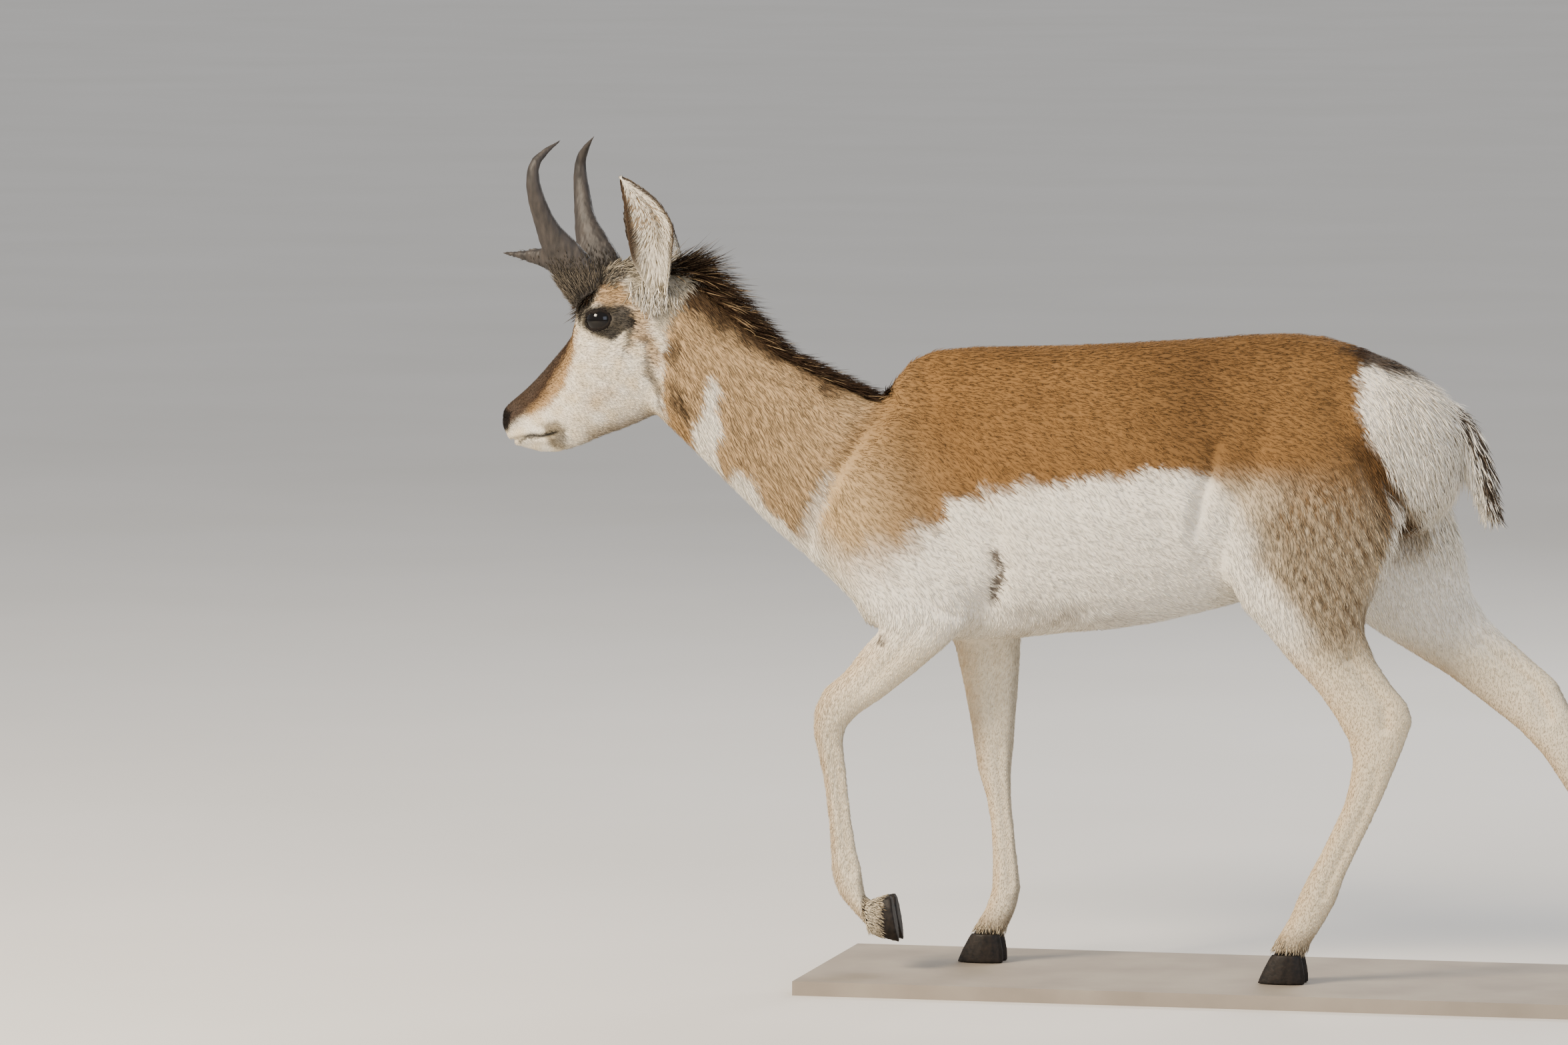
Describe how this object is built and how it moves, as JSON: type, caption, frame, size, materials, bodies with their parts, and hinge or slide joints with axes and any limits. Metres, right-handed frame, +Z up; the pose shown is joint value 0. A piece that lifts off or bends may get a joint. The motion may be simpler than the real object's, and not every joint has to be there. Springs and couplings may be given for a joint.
{
  "type": "pronghorn model",
  "caption": "Life-size still model of a walking pronghorn buck with pronged horns, one foreleg lifted, on a plain flat base.",
  "frame": {"origin": "middle of the whole part's plan box, on the underside of the base", "axes": "+Z up; the animal faces -X, its left side is -Y"},
  "size_m": [1.7498, 0.42, 1.183],
  "materials": {
    "coat_tan": "short dense tan-brown hair",
    "coat_white": "short cream-white hair",
    "coat_face": "very short hair, dark bridge and white cheek",
    "coat_ear": "short hair, pale inside with a dark rim",
    "horn_sheath": "dark grey keratin sheath with fine grain",
    "hoof_horn": "black hoof horn",
    "eye": "wet, near-black eye",
    "base_board": "matt grey-brown painted board"
  },
  "bodies": {
    "root": {"torso": "coat_tan", "neck": "coat_tan", "head": "coat_face", "tail": "coat_white", "ear_left": "coat_ear", "eye_left": "eye", "horn_left": "horn_sheath", "foreleg_left_upper": "coat_tan", "foreleg_left_middle": "coat_white", "foreleg_left_cannon": "coat_white", "foreleg_left_pastern": "coat_white", "foreleg_left_claw_a": "hoof_horn", "foreleg_left_claw_b": "hoof_horn", "hindleg_left_upper": "coat_tan", "hindleg_left_middle": "coat_white", "hindleg_left_cannon": "coat_white", "hindleg_left_pastern": "coat_white", "hindleg_left_claw_a": "hoof_horn", "hindleg_left_claw_b": "hoof_horn", "ear_right": "coat_ear", "eye_right": "eye", "horn_right": "horn_sheath", "foreleg_right_upper": "coat_tan", "foreleg_right_middle": "coat_white", "foreleg_right_cannon": "coat_white", "foreleg_right_pastern": "coat_white", "foreleg_right_claw_a": "hoof_horn", "foreleg_right_claw_b": "hoof_horn", "hindleg_right_upper": "coat_tan", "hindleg_right_middle": "coat_white", "hindleg_right_cannon": "coat_white", "hindleg_right_pastern": "coat_white", "hindleg_right_claw_a": "hoof_horn", "hindleg_right_claw_b": "hoof_horn", "stand_base": "base_board"}
  },
  "joints": []
}
